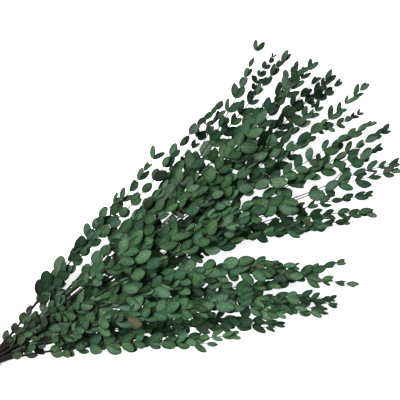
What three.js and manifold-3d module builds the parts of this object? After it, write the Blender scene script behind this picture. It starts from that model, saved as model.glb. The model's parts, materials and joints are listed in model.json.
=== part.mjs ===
// A bunch of dried small-leaved eucalyptus, lying on its side as it was cut and tied.
// Millimetres, +Z up. The stems run along +X, from their cut ends to the leafy tips, and the bunch
// rests on the plane z = 0. The origin is under the middle of the whole bunch.
import * as THREE from "three";
import { mergeVertices } from "three/addons/utils/BufferGeometryUtils.js";
import Module from "manifold-3d";

const wasm = await Module();
wasm.setup();

// ---- Driving dimensions: millimetres, and degrees where the name says so ----

// Each branch leaves the tie at one angle and bends to another by its tip, which lies at its reach
// from the tie. Layer 0 lies on the surface and layer 4 is on top. In a layer the branches are listed
// from the +Y side to the -Y side.
const BRANCHES = [
  { layer: 0, startDeg: 8, tipDeg: 12, reach: 668, twigs: 3 },
  { layer: 0, startDeg: 3.5, tipDeg: -6.5, reach: 616, twigs: 2 },
  { layer: 0, startDeg: -14, tipDeg: -20.8, reach: 435, twigs: 2 },
  { layer: 1, startDeg: 11.5, tipDeg: 18.5, reach: 500, twigs: 2 },
  { layer: 1, startDeg: 6.5, tipDeg: 9.5, reach: 622, twigs: 3 },
  { layer: 1, startDeg: 2.5, tipDeg: -4, reach: 622, twigs: 1 },
  { layer: 1, startDeg: -6, tipDeg: -18.5, reach: 520, twigs: 3 },
  { layer: 2, startDeg: 21.5, tipDeg: 22.6, reach: 392, twigs: 1 },
  { layer: 2, startDeg: 13, tipDeg: 17.8, reach: 632, twigs: 2 },
  { layer: 2, startDeg: 4, tipDeg: 2.3, reach: 684, twigs: 2 },
  { layer: 2, startDeg: -1, tipDeg: -9.5, reach: 450, twigs: 2 },
  { layer: 2, startDeg: -17.5, tipDeg: -22, reach: 365, twigs: 1 },
  { layer: 3, startDeg: 10, tipDeg: 20.8, reach: 612, twigs: 1 },
  { layer: 3, startDeg: 6, tipDeg: 8, reach: 688, twigs: 3 },
  { layer: 3, startDeg: 4.5, tipDeg: -5.5, reach: 530, twigs: 2 },
  { layer: 3, startDeg: 1.5, tipDeg: -15.5, reach: 548, twigs: 3 },
  { layer: 4, startDeg: 8.5, tipDeg: 14.4, reach: 646, twigs: 3 },
  { layer: 4, startDeg: 3.5, tipDeg: -1.6, reach: 683, twigs: 2 },
  { layer: 4, startDeg: -6, tipDeg: -18, reach: 485, twigs: 2 },
];
// Where the bunch was handled no leaf is left in any layer: from one point to another, as X and Y from
// the middle of the tie, and half the width.
const CLEARINGS = [
  { start: [150, 34], end: [240, 19], half: 5 },
  { start: [192, 45], end: [248, 57], half: 3 },
  { start: [149, 42], end: [246, 75], half: 4 },
  { start: [318, 65], end: [372, 50], half: 5 },
  { start: [306, 27], end: [342, 4], half: 5 },
  { start: [330, -12], end: [470, -54], half: 4 }, // the parting of the bunch
];
const LAYER_HEIGHT = [4.5, 30, 54, 78, 100]; // above the surface, where the bunch is thickest
const LAYER_SIZE = [3, 4, 5, 4, 3]; // branches in each layer, as they pack in a round tie
const LONGEST_REACH = 690;

const STEM_BEHIND_TIE = 52; // from the tie back to the cut ends
const STRAIGHT_PAST_TIE = 14; // the stems stay parallel this far past the middle of the tie
const STEM_RADIUS = 2.3;
const TIP_RADIUS = 0.9;
const TWIG_RADIUS = 1.35;
const TWIG_TIP_RADIUS = 0.9;
const STEM_PITCH = 5.2; // from stem to stem in the tie
const CLEARANCE = 0.4; // between any two branches, and between a stem and the tie
const OWN_CLEARANCE = 0.1; // between the leaves of one branch

const TWINE = 2.2; // thickness of the twine of the tie
const TWINE_TURNS = 5;
const TWINE_GROOVE = 0.9; // depth between one turn and the next
const TIE_SIDES = 12;

const SPLAY_LENGTH = 42; // how soon the stems turn out of the tie
const RISE_LENGTH = 270; // the layers have drawn apart at this distance from the tie
const DROOP = 0.24; // share of its height that a tip at the longest reach has sunk
const WANDER = [1, 4.5]; // how far a stem strays from its smooth line, near the tie and at the tip

// Side twigs. The shares are of the reach of their branch.
const TWIG_FIRST_SHARE = 0.2; // from where the first one forks off
const TWIG_LAST_SHARE = 0.6; // to where the last one does
const TWIG_FORK_SPREAD = 0.03;
const TWIG_LENGTH_SHARE = [0.34, 0.46];
const TWIG_END_SHARE = 0.97; // none reaches further out
const LANE_DEG = 4.5; // a side twig may swing out this far from its stem,
const EDGE_LANE_DEG = 1.8; // or this far at the edges: outside the outermost stems of a layer
const PARTING_DEG = -7.5; // and beside this line, where the bunch parts in two
const LANE_USED = [0.55, 0.92]; // it takes this share of that room
const TWIG_RISE = 9; // or fall

const STEM_STEP = 76; // length of one straight piece of a stem
const TWIG_STEP = 70;
const STEM_SIDES = 4;
const TWIG_SIDES = 3;

const LEAF_LENGTH = 28; // the largest, halfway up a stem
const BASE_LEAF_SHARE = 0.75; // of that length, at the foot of the stem
const TIP_LEAF_SHARE = 0.72; // and at its tip
const LARGEST_FROM = 0.4; // where on the stem the leaves reach their full size,
const TIP_TAPER_FROM = 0.65; // and where they start to shrink
const LEAF_VARIATION = [0.72, 1.12];
const LEAF_WIDTH_SHARE = [0.56, 0.7]; // width over length
const TIP_NARROWING = 0.32; // the last leaves are this share narrower,
const TIP_CLOSING = 0.38; // and point this share less away from the stem
const LEAF_THICKNESS = 1.2; // in the middle of the blade, which thins out to its rim
const LEAF_RIM_POINTS = 8;
const LEAF_EGG = 0.05; // how much broader the half near the stem is
const LEAF_POINT = 0.6; // how pointed both ends are
const LEAF_ARCH = [-0.02, 0.09]; // rise of the middle over the length
const LEAF_FOLD = [0.02, 0.16]; // rise of each edge over the half width
const LEAF_SPREAD_DEG = [16, 52]; // between leaf and stem
const LEAF_TILT = [0.6, 1]; // how far the blades turn out of the level, at the foot and at the tip
const LEAF_SEAT = 0.2; // the two leaves of a pair start this share of the stem's radius off its axis
const PAIR_ROLL_DEG = 38; // how far a pair strays from its quarter turn
const PITCH_SHARE = [0.7, 1]; // from one pair to the next, in lengths of its leaves
const LAST_PAIR_BEFORE_TIP = 1.5; // the last pair sits this far before the end of its stem,
const LAST_PITCH_LEAST = 7; // and at least this far past the one before
const PAIR_MIDDLE_SHARE = 0.4; // a pair's leaves have their middles this share of their length past it,
const CLEARED_SHARE = 0.15; // and those keep this share of it from a clearing
const BARE_BASE = 30; // no leaves nearer to the tie
const TWIG_BARE = 12; // nor this near to the root of a side twig
const THIN_FOLIAGE = 135; // nearer than this to the tie, some of the pairs have fallen,
const BASE_PAIRS_LEFT = 0.4; // and this share of them is left at the first ones
const PAIR_SPACING = 84; // the solid keeps no two pairs of a stem nearer than this
const SEED = 41; // of every random draw
const LEAF_TRIES = 8; // poses tried for a leaf before its place stays empty

// ---- Small helpers ----

const UP = new THREE.Vector3(0, 0, 1);
const radians = THREE.MathUtils.degToRad;
const { lerp, clamp, smoothstep } = THREE.MathUtils;

// Repeatable random numbers from 0 to 1: the generator known as mulberry32.
function randomFrom(seed) {
  let state = seed;
  return () => {
    state = (state + 0x6d2b79f5) | 0;
    let mixed = Math.imul(state ^ (state >>> 15), state | 1);
    mixed ^= mixed + Math.imul(mixed ^ (mixed >>> 7), mixed | 61);
    return ((mixed ^ (mixed >>> 14)) >>> 0) / 2 ** 32;
  };
}

const between = (random, [low, high]) => lerp(low, high, random());
const upTo = (random, most) => lerp(-most, most, random());

// The closed solid of a geometry.
function solidOf(geometry) {
  geometry.deleteAttribute("normal");
  geometry.deleteAttribute("uv");
  const merged = mergeVertices(geometry, 1e-4);
  return new wasm.Manifold(
    new wasm.Mesh({
      numProp: 3,
      vertProperties: new Float32Array(merged.attributes.position.array),
      triVerts: new Uint32Array(merged.index.array),
    }),
  );
}

// The geometry of a solid.
function geometryOf(solid) {
  const mesh = solid.getMesh();
  const geometry = new THREE.BufferGeometry();
  geometry.setAttribute("position", new THREE.BufferAttribute(mesh.vertProperties, 3));
  geometry.setIndex(new THREE.BufferAttribute(mesh.triVerts, 1));
  geometry.computeVertexNormals();
  return geometry;
}

// Moves every vertex of a geometry to where place(x, y, z) says.
function reshape(geometry, place) {
  const at = geometry.attributes.position;
  for (let i = 0; i < at.count; i++) {
    const moved = place(at.getX(i), at.getY(i), at.getZ(i));
    at.setXYZ(i, moved.x, moved.y, moved.z);
  }
  return geometry;
}

// ---- The tie: where each stem goes through it ----

// One stem in the middle, six round it and twelve round those, grouped into layers by height.
function stemSlots() {
  const slots = [{ y: 0, z: 0 }];
  for (const [count, radius] of [[6, STEM_PITCH], [12, 2 * STEM_PITCH]]) {
    for (let i = 0; i < count; i++) {
      const angle = (2 * Math.PI * i) / count;
      slots.push({ y: radius * Math.cos(angle), z: radius * Math.sin(angle) });
    }
  }
  const upwards = slots.sort((a, b) => a.z - b.z);
  return LAYER_SIZE.flatMap((size) => upwards.splice(0, size).sort((a, b) => b.y - a.y));
}

const TIE_INNER_RADIUS = 2 * STEM_PITCH + STEM_RADIUS + CLEARANCE;
const TIE_OUTER_RADIUS = TIE_INNER_RADIUS + TWINE;
const TIE_LENGTH = TWINE * TWINE_TURNS;

// The wound twine as one ring, with a ridge for each turn.
function tieGeometry() {
  const profile = [new THREE.Vector2(TIE_INNER_RADIUS, -TIE_LENGTH / 2)];
  for (let i = 0; i <= 2 * TWINE_TURNS; i++) {
    const radius = i % 2 ? TIE_OUTER_RADIUS : TIE_OUTER_RADIUS - TWINE_GROOVE;
    profile.push(new THREE.Vector2(radius, TIE_LENGTH * (i / (2 * TWINE_TURNS) - 0.5)));
  }
  profile.push(new THREE.Vector2(TIE_INNER_RADIUS, TIE_LENGTH / 2));
  profile.push(profile[0].clone());
  const ring = new THREE.LatheGeometry(profile, TIE_SIDES);
  ring.rotateZ(Math.PI / 2);
  ring.translate(0, 0, TIE_OUTER_RADIUS);
  return ring;
}

// ---- The stems ----

// How far the side twigs of a branch may swing towards its neighbour in the same layer.
function laneTowards(branch, neighbour) {
  if (!neighbour || (branch.tipDeg > PARTING_DEG) !== (neighbour.tipDeg > PARTING_DEG)) {
    return EDGE_LANE_DEG;
  }
  return Math.min(Math.abs(neighbour.tipDeg - branch.tipDeg) / 2, LANE_DEG);
}

const slots = stemSlots();
BRANCHES.forEach((branch, i) => {
  const layer = BRANCHES.filter((other) => other.layer === branch.layer);
  const place = layer.indexOf(branch);
  branch.slot = slots[i];
  branch.laneDeg = {
    left: laneTowards(branch, layer[place - 1]),
    right: laneTowards(branch, layer[place + 1]),
  };
});

// The point of a branch at a distance from the tie. A side twig swings out from it and lifts.
function pointOn(branch, distance, swingDeg = 0, lift = 0) {
  const slotHeight = TIE_OUTER_RADIUS + branch.slot.z;
  if (distance <= STRAIGHT_PAST_TIE) {
    return new THREE.Vector3(distance, branch.slot.y, slotHeight);
  }
  const free = distance - STRAIGHT_PAST_TIE;
  const share = distance / branch.reach;
  const splay = 1 - Math.exp(-free / SPLAY_LENGTH);
  const angle = radians(lerp(branch.startDeg, branch.tipDeg, share ** 2) * splay + swingDeg);
  const sunk = 1 - DROOP * (distance / LONGEST_REACH) ** 2;
  const height = LAYER_HEIGHT[branch.layer] * sunk;
  return new THREE.Vector3(
    distance * Math.cos(angle),
    distance * Math.sin(angle) + branch.slot.y * (1 - share),
    lerp(slotHeight, height, smoothstep(free, 0, RISE_LENGTH)) + lift,
  );
}

// A stem is its route, a list of points, with a radius at each.
function mainStem(branch, random) {
  const steps = Math.round(branch.reach / STEM_STEP);
  const route = [pointOn(branch, -STEM_BEHIND_TIE), pointOn(branch, STRAIGHT_PAST_TIE)];
  for (let i = 1; i <= steps; i++) {
    const distance = lerp(STRAIGHT_PAST_TIE, branch.reach, i / steps);
    const point = pointOn(branch, distance);
    const wander = lerp(...WANDER, i / steps);
    point.y += upTo(random, wander);
    point.z += upTo(random, branch.layer > 0 ? wander : 0);
    route.push(point);
  }
  const last = route.length - 1;
  const radii = route.map((_, i) => lerp(STEM_RADIUS, TIP_RADIUS, Math.max(0, i - 1) / (last - 1)));
  return { route, radii, sides: STEM_SIDES, leafyFrom: STEM_BEHIND_TIE + BARE_BASE };
}

function sideTwig(branch, main, index, random) {
  const side = index % 2 === branch.layer % 2 ? 1 : -1;
  const rank = branch.twigs > 1 ? index / (branch.twigs - 1) : 0;
  const fork = lerp(TWIG_FIRST_SHARE, TWIG_LAST_SHARE, rank) + upTo(random, TWIG_FORK_SPREAD);
  const end = Math.min(fork + between(random, TWIG_LENGTH_SHARE), TWIG_END_SHARE);
  const lane = side > 0 ? branch.laneDeg.left : branch.laneDeg.right;
  const swingDeg = side * lane * between(random, LANE_USED);
  const rise = upTo(random, branch.layer > 0 ? TWIG_RISE : 0);
  const steps = Math.max(2, Math.round(((end - fork) * branch.reach) / TWIG_STEP));
  const route = [placeOn(main, STEM_BEHIND_TIE + fork * branch.reach).point];
  for (let i = 1; i <= steps; i++) {
    const distance = branch.reach * lerp(fork, end, i / steps);
    const eased = 1 - (1 - i / steps) ** 2;
    const point = pointOn(branch, distance, swingDeg * eased, rise * eased);
    point.y += upTo(random, lerp(...WANDER, distance / branch.reach));
    route.push(point);
  }
  const radii = route.map((_, i) => lerp(TWIG_RADIUS, TWIG_TIP_RADIUS, i / steps));
  return { route, radii, sides: TWIG_SIDES, leafyFrom: TWIG_BARE };
}

// A cylinder bent along the route, with the stem's radius at each of its rings.
function stemGeometry({ route, radii, sides }) {
  const steps = route.length - 1;
  return reshape(new THREE.CylinderGeometry(1, 1, 1, sides, steps), (x, y, z) => {
    const i = Math.round((y + 0.5) * steps);
    const forward = route[Math.min(i + 1, steps)].clone().sub(route[Math.max(i - 1, 0)]).normalize();
    const aside = UP.clone().cross(forward).normalize();
    const down = aside.clone().cross(forward);
    return route[i].clone().addScaledVector(aside, x * radii[i]).addScaledVector(down, z * radii[i]);
  });
}

// ---- The leaves ----

// The point of a route at a length along it, with the way it runs and its radius there.
function placeOn({ route, radii }, length) {
  let left = length;
  for (let i = 1; i < route.length; i++) {
    const piece = route[i].clone().sub(route[i - 1]);
    const size = piece.length();
    if (left <= size || i === route.length - 1) {
      const t = clamp(left / size, 0, 1);
      return {
        point: route[i - 1].clone().addScaledVector(piece, t),
        forward: piece.normalize(),
        radius: lerp(radii[i - 1], radii[i], t),
      };
    }
    left -= size;
  }
}

function lengthOf({ route }) {
  let total = 0;
  for (let i = 1; i < route.length; i++) total += route[i].distanceTo(route[i - 1]);
  return total;
}

// Leaf size against its place on the stem, from 0 at the first leaf to 1 at the tip.
function leafSize(share) {
  const swell = smoothstep(share, 0, LARGEST_FROM);
  const taper = lerp(1, TIP_LEAF_SHARE, smoothstep(share, TIP_TAPER_FROM, 1));
  return LEAF_LENGTH * lerp(BASE_LEAF_SHARE, 1, swell) * taper;
}

// Whether a leaf of this length, with its middle at this point, would cover one of the clearings.
function inClearing({ x, y }, size) {
  return CLEARINGS.some(({ start, end, half }) => {
    const from = new THREE.Vector2(...start);
    const along = new THREE.Vector2(...end).sub(from);
    const away = new THREE.Vector2(x, y).sub(from);
    const share = clamp(away.dot(along) / along.lengthSq(), 0, 1);
    return away.addScaledVector(along, -share).length() < half + CLEARED_SHARE * size;
  });
}

// Opposite pairs up the stem, each turned a quarter round from the last, with one pair at the tip.
function leafPairs(stem) {
  const random = randomFrom(stem.seed);
  const total = lengthOf(stem);
  const lastPair = total - LAST_PAIR_BEFORE_TIP;
  const pairs = [];
  let at = stem.leafyFrom;
  for (let turn = 0; at <= total; turn++) {
    const share = (at - stem.leafyFrom) / (total - stem.leafyFrom);
    const size = leafSize(share);
    const root = placeOn(stem, at);
    const aside = UP.clone().cross(root.forward).normalize();
    const above = root.forward.clone().cross(aside);
    const roll = radians(90 * (turn % 2) - 45 + upTo(random, PAIR_ROLL_DEG));
    const outward = aside.multiplyScalar(Math.cos(roll)).addScaledVector(above, Math.sin(roll));
    const leafiness = lerp(BASE_PAIRS_LEFT, 1, smoothstep(root.point.x, BARE_BASE, THIN_FOLIAGE));
    const middle = root.point.clone().addScaledVector(root.forward, size * PAIR_MIDDLE_SHARE);
    if (random() < leafiness && !inClearing(middle, size)) {
      pairs.push({ at, share, size, root, outward, seed: stem.seed + 100 * (turn + 1) });
    }
    const next = at + size * between(random, PITCH_SHARE);
    at = at < lastPair && next + LAST_PITCH_LEAST > lastPair ? lastPair : next;
  }
  return pairs;
}

// One leaf: where it starts, which way it points, which way its upper face looks, and its form.
function leafPose({ share, size, root, outward, seed }, side, attempt) {
  const random = randomFrom(seed + 2 * attempt + side);
  const nearTip = smoothstep(share, 0.5, 1);
  const spread = radians(between(random, LEAF_SPREAD_DEG) * (1 - TIP_CLOSING * nearTip));
  const away = outward.clone().multiplyScalar(side ? 1 : -1);
  const pointing = root.forward.clone().multiplyScalar(Math.cos(spread))
    .addScaledVector(away, Math.sin(spread));
  const tilt = lerp(...LEAF_TILT, nearTip);
  const face = UP.clone().add(new THREE.Vector3(upTo(random, tilt), upTo(random, tilt), 0));
  face.addScaledVector(pointing, -face.dot(pointing)).normalize();
  const length = size * between(random, LEAF_VARIATION);
  return {
    start: root.point.clone().addScaledVector(away, root.radius * LEAF_SEAT),
    pointing,
    face,
    length,
    width: length * between(random, LEAF_WIDTH_SHARE) * (1 - TIP_NARROWING * nearTip),
    arch: between(random, LEAF_ARCH),
    fold: between(random, LEAF_FOLD),
  };
}

// A blade is a flat double cone with its rim drawn out to the leaf's outline. What would reach under
// the surface that the bunch lies on is pressed flat on it.
function leafGeometry(leaf) {
  const across = leaf.pointing.clone().cross(leaf.face);
  return reshape(new THREE.SphereGeometry(1, LEAF_RIM_POINTS, 2), (x, y, z) => {
    const middle = Math.abs(y) > 0.5;
    const share = middle ? 0.5 : (1 + x * Math.abs(x) ** LEAF_POINT) / 2;
    const sideways = middle ? 0 : z * (1 - LEAF_EGG * x);
    const height = leaf.arch * leaf.length * Math.sin(Math.PI * share)
      + leaf.fold * (leaf.width / 2) * Math.abs(sideways)
      + (middle ? Math.sign(y) * (LEAF_THICKNESS / 2) : 0);
    const point = leaf.start.clone()
      .addScaledVector(leaf.pointing, leaf.length * share)
      .addScaledVector(across, (leaf.width / 2) * sideways)
      .addScaledVector(leaf.face, height);
    point.z = Math.max(point.z, middle && y > 0 ? LEAF_THICKNESS : 0);
    return point;
  });
}

// ---- Each branch as one solid ----

const boxed = (geometry) => {
  const solid = solidOf(geometry);
  return { solid, box: solid.boundingBox() };
};

const boxesMeet = (a, b) => [0, 1, 2].every(
  (axis) => a.min[axis] - CLEARANCE < b.max[axis] && b.min[axis] - CLEARANCE < a.max[axis],
);

// Whether a piece keeps a gap to all the others.
const isClear = (piece, others, gap) => others.every(
  (other) => !boxesMeet(piece.box, other.box) || piece.solid.minGap(other.solid, gap) >= gap,
);

const tie = tieGeometry();
const branches = BRANCHES.map((branch, i) => {
  const random = randomFrom(SEED + i);
  const stems = [mainStem(branch, random)];
  for (let twig = 0; twig < branch.twigs; twig++) stems.push(sideTwig(branch, stems[0], twig, random));
  stems.forEach((stem, place) => {
    stem.seed = SEED + 100000 * i + 10000 * place;
    stem.piece = boxed(stemGeometry(stem));
  });
  return { stems, leaves: [] };
});

// Leaves are put on from the tip down to the base, so that the furthest tips keep theirs. Each takes
// the first pose that is clear of the other branches and crosses nothing of its own.
for (const branch of branches) {
  const foreign = branches.filter((other) => other !== branch)
    .flatMap(({ stems, leaves }) => [...stems.map((stem) => stem.piece), ...leaves])
    .concat(boxed(tie.clone()));
  for (const stem of branch.stems) {
    const wood = branch.stems.filter((other) => other !== stem).map((other) => other.piece);
    let lastKept = Infinity;
    for (const pair of leafPairs(stem).reverse()) {
      if (lastKept - pair.at < PAIR_SPACING) continue;
      for (const side of [0, 1]) {
        for (let attempt = 0; attempt < LEAF_TRIES; attempt++) {
          const blade = boxed(leafGeometry(leafPose(pair, side, attempt)));
          const clear = isClear(blade, foreign, CLEARANCE)
            && isClear(blade, [...wood, ...branch.leaves], OWN_CLEARANCE);
          if (!clear) continue;
          branch.leaves.push(blade);
          lastKept = pair.at;
          break;
        }
      }
    }
  }
}

const leafGreen = new THREE.MeshStandardMaterial({ color: "#40573f", roughness: 0.62, metalness: 0 });
const twineTan = new THREE.MeshStandardMaterial({ color: "#a98a5c", roughness: 0.9, metalness: 0 });

const bunch = new THREE.Group();
const tieMesh = new THREE.Mesh(tie, twineTan);
tieMesh.name = "binding_twine";
bunch.add(tieMesh);
branches.forEach(({ stems, leaves }, i) => {
  const pieces = [...stems.map((stem) => stem.piece), ...leaves].map((piece) => piece.solid);
  const whole = pieces.reduce((joined, piece) => joined.add(piece));
  const mesh = new THREE.Mesh(geometryOf(whole), leafGreen);
  mesh.name = `branch_${String(i + 1).padStart(2, "0")}`;
  bunch.add(mesh);
});

// The origin goes under the middle of the bunch.
const size = new THREE.Box3().setFromObject(bunch, true);
const middle = size.getCenter(new THREE.Vector3());
bunch.children.forEach((mesh) => mesh.position.set(-middle.x, -middle.y, 0));

export default bunch;
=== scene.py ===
# %% [markdown]
# # A bunch of dried eucalyptus
#
# Nineteen leafy stems of small-leaved eucalyptus, dried and preserved, are tied near their cut ends and
# laid on a table, where they fan out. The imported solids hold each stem, its side twigs and about one
# leaf in six. This script puts the real foliage in their place: every leaf pair of every stem, as two
# thin curved blades, on slender stems with a swelling at each pair. It also adds the twigs and sprigs
# that make a real bunch so full.
#
# The frame comes first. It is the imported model, in metres, with +X along the bunch and +Z up.

import json
import math
from types import SimpleNamespace

import bpy
import numpy as np
from mathutils import Matrix, Vector, kdtree

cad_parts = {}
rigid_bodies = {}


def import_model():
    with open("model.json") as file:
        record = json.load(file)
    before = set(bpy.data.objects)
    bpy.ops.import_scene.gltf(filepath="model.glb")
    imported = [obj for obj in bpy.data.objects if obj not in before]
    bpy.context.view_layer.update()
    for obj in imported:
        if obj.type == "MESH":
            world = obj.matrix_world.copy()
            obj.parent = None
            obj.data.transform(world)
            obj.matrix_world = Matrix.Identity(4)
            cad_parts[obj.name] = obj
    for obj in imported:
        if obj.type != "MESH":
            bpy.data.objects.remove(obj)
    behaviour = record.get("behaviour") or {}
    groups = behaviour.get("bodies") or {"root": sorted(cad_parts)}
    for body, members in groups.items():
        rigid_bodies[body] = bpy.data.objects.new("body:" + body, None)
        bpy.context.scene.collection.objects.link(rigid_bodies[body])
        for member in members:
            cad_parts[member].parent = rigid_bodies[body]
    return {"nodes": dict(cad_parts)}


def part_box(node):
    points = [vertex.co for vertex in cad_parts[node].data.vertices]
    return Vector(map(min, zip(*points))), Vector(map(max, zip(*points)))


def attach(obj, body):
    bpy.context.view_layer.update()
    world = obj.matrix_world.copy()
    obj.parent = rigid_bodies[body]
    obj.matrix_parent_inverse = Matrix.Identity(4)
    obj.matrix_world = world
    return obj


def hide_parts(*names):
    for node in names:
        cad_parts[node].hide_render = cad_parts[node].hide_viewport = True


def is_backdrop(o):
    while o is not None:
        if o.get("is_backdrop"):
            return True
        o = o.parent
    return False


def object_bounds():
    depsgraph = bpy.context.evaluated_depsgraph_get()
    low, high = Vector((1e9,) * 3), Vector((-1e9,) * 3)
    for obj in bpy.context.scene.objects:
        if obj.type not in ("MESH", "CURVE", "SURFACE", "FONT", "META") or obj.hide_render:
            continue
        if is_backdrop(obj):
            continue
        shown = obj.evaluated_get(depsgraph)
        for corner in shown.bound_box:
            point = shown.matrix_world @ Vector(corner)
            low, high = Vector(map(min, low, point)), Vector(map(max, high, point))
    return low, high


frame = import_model()
cad_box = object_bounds()
scene = bpy.context.scene
print("box of the solids in metres:", [[round(v, 4) for v in corner] for corner in cad_box])

# %% [markdown]
# ## How the bunch is laid out
#
# The places of the stems aren't random. Each has a slot in the tie, a layer in the lying bunch, and an
# angle at both ends. These are the same driving dimensions as the solids have, so that the leaves
# below grow from the same twigs. They are millimetres, and degrees where the name says so.

# %% Driving dimensions of the stems
BRANCHES = [  # layer, angle near the tie, angle at the tip, reach from the tie, side twigs
    (0, 8, 12, 668, 3), (0, 3.5, -6.5, 616, 2), (0, -14, -20.8, 435, 2),
    (1, 11.5, 18.5, 500, 2), (1, 6.5, 9.5, 622, 3), (1, 2.5, -4, 622, 1), (1, -6, -18.5, 520, 3),
    (2, 21.5, 22.6, 392, 1), (2, 13, 17.8, 632, 2), (2, 4, 2.3, 684, 2), (2, -1, -9.5, 450, 2),
    (2, -17.5, -22, 365, 1),
    (3, 10, 20.8, 612, 1), (3, 6, 8, 688, 3), (3, 4.5, -5.5, 530, 2), (3, 1.5, -15.5, 548, 3),
    (4, 8.5, 14.4, 646, 3), (4, 3.5, -1.6, 683, 2), (4, -6, -18, 485, 2),
]
LAYER_HEIGHT = [4.5, 30, 54, 78, 100]  # of the stems, from the lowest layer up
LAYER_SIZE = [3, 4, 5, 4, 3]
LONGEST_REACH = 690
STEM_BEHIND_TIE = 52
STRAIGHT_PAST_TIE = 14
STEM_PITCH = 5.2  # from one stem in the tie to the next
STEM_SLOT = 2.7  # the tie lies this far outside the axes of its outer stems
TWINE = 2.2  # thickness
SPLAY_LENGTH = 42  # a stem turns out of the tie over about this length
RISE_LENGTH = 270  # and has reached the height of its layer here
DROOP = 0.24  # the share of that height that the longest stem sinks again
WANDER = (1, 4.5)  # of a stem from its smooth way, near the tie and at the tip
TWIG_FORK_SHARES = (0.2, 0.6)  # of the reach, where side twigs leave the stem
TWIG_FORK_SPREAD = 0.03
TWIG_LENGTH_SHARE = (0.34, 0.46)  # also of the reach
TWIG_END_SHARE = 0.97
LANE_DEG, EDGE_LANE_DEG = 4.5, 1.8  # the most that a side twig swings out, inside and at an edge
PARTING_DEG = -7.5  # stems with tips below this angle make up the lower group
LANE_USED = (0.55, 0.92)
TWIG_RISE = 9
STEM_STEP, TWIG_STEP = 76, 70  # between the points of a route
SEED = 41

TIE_OUTER_RADIUS = 2 * STEM_PITCH + STEM_SLOT + TWINE
tie_low, tie_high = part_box("binding_twine")
tie_middle = (tie_low + tie_high) / 2
ORIGIN = np.array([tie_middle.x, tie_middle.y, 0])  # of the layout: on the table under the tie
MM = 0.001


def in_frame(point_mm):
    return ORIGIN + np.asarray(point_mm) * MM


print("the layout starts at", ORIGIN.round(4), "m")

# %% [markdown]
# ## Where the picture is taken from
#
# The photo looks straight down on the bunch, with the stems running up to the right and the tie just
# past the left edge. A camera that looks down needs no more than a place and a turn about the
# vertical. A long lens from 1.4 m up keeps the near leaves from looking larger than the far ones.

# %% Camera
VIEW_MIDDLE = (394.9, 65.3, 45)  # the point in the middle of the picture, from the foot of the tie
VIEW_WIDTH = 600  # across the picture, at that height
STEMS_TURN_DEG = 28  # the stems run up to the right at this angle
LENS, SENSOR = 85, 36

camera = bpy.data.objects.new("camera_above", bpy.data.cameras.new("camera_above"))
camera.data.lens, camera.data.sensor_width = LENS, SENSOR
camera_height = VIEW_WIDTH * LENS / SENSOR
camera.location = in_frame(np.add(VIEW_MIDDLE, (0, 0, camera_height)))
camera.rotation_euler = (0, 0, -math.radians(STEMS_TURN_DEG))
scene.collection.objects.link(camera)
scene.camera = camera
print("the camera is", round(camera_height), "mm above the leaves")

# %% [markdown]
# ## Repeatable random draws
#
# Random draws have to be the same on every run, and the same as in the solids. This small generator
# (known as mulberry32) gives them: a seed in, and an endless row of numbers from 0 to 1 out.

# %% Random numbers
BITS = 0xFFFFFFFF


def random_from(seed):
    state = seed

    def draw():
        nonlocal state
        state = (state + 0x6D2B79F5) & BITS
        mixed = ((state ^ state >> 15) * (state | 1)) & BITS
        mixed ^= (mixed + ((mixed ^ mixed >> 7) * (mixed | 61) & BITS)) & BITS
        return (mixed ^ mixed >> 14) / 2**32

    return draw


def lerp(low, high, share):
    return (1 - share) * low + share * high


def between(draw, limits):
    return lerp(*limits, draw())


def up_to(draw, most):
    return lerp(-most, most, draw())


def smoothstep(x, low, high):
    t = min(1, max(0, (x - low) / (high - low)))
    return t * t * (3 - 2 * t)


# How far the seeds of two branches are apart, and of two stems, sprigs and pairs on the same branch.
SEEDS_PER_BRANCH, SEEDS_PER_STEM, SEEDS_PER_SPRIG, SEEDS_PER_PAIR = 100000, 10000, 3000, 100
TINT_SEED, THINNING_SEED = 50, 70  # counted from the seed of a leaf and of a pair

draw = random_from(SEED)
print("first draws:", [round(draw(), 4) for _ in range(3)])

# %% [markdown]
# ## The routes of the stems
#
# A stem is a route, a list of points, with a radius at each. All nineteen run side by side through the
# tie, turn out of it at their own angles, and rise or sink to their layer. A side twig follows the
# same rule as its stem and swings out of it step by step. The routes could be drawn by hand as curves,
# but a rule keeps them inside the lanes between their neighbours.

# %% Slots and lanes
def tie_slots():
    """One stem in the middle, six round it and twelve round those, grouped into layers by height."""
    slots = [(0.0, 0.0)]
    for count, radius in ((6, STEM_PITCH), (12, 2 * STEM_PITCH)):
        for i in range(count):
            angle = 2 * math.pi * i / count
            slots.append((radius * math.cos(angle), radius * math.sin(angle)))
    upwards = iter(sorted(slots, key=lambda slot: slot[1]))
    layers = [[next(upwards) for _ in range(size)] for size in LAYER_SIZE]
    return [slot for layer in layers for slot in sorted(layer, key=lambda slot: -slot[0])]


def lane_towards(branch, neighbour):
    """How far the side twigs of a branch may swing towards its neighbour in the same layer."""
    if neighbour is None or (branch.tip_deg > PARTING_DEG) != (neighbour.tip_deg > PARTING_DEG):
        return EDGE_LANE_DEG
    return min(abs(neighbour.tip_deg - branch.tip_deg) / 2, LANE_DEG)


branches = [
    SimpleNamespace(layer=layer, start_deg=start, tip_deg=tip, reach=reach, twigs=twigs, slot=slot)
    for (layer, start, tip, reach, twigs), slot in zip(BRANCHES, tie_slots())
]
for i, branch in enumerate(branches):
    left = branches[i - 1] if i > 0 and branches[i - 1].layer == branch.layer else None
    right = branches[i + 1] if i + 1 < len(branches) and branches[i + 1].layer == branch.layer else None
    branch.lane_left, branch.lane_right = lane_towards(branch, left), lane_towards(branch, right)
print("branches:", len(branches), "in layers of", LAYER_SIZE)

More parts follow.
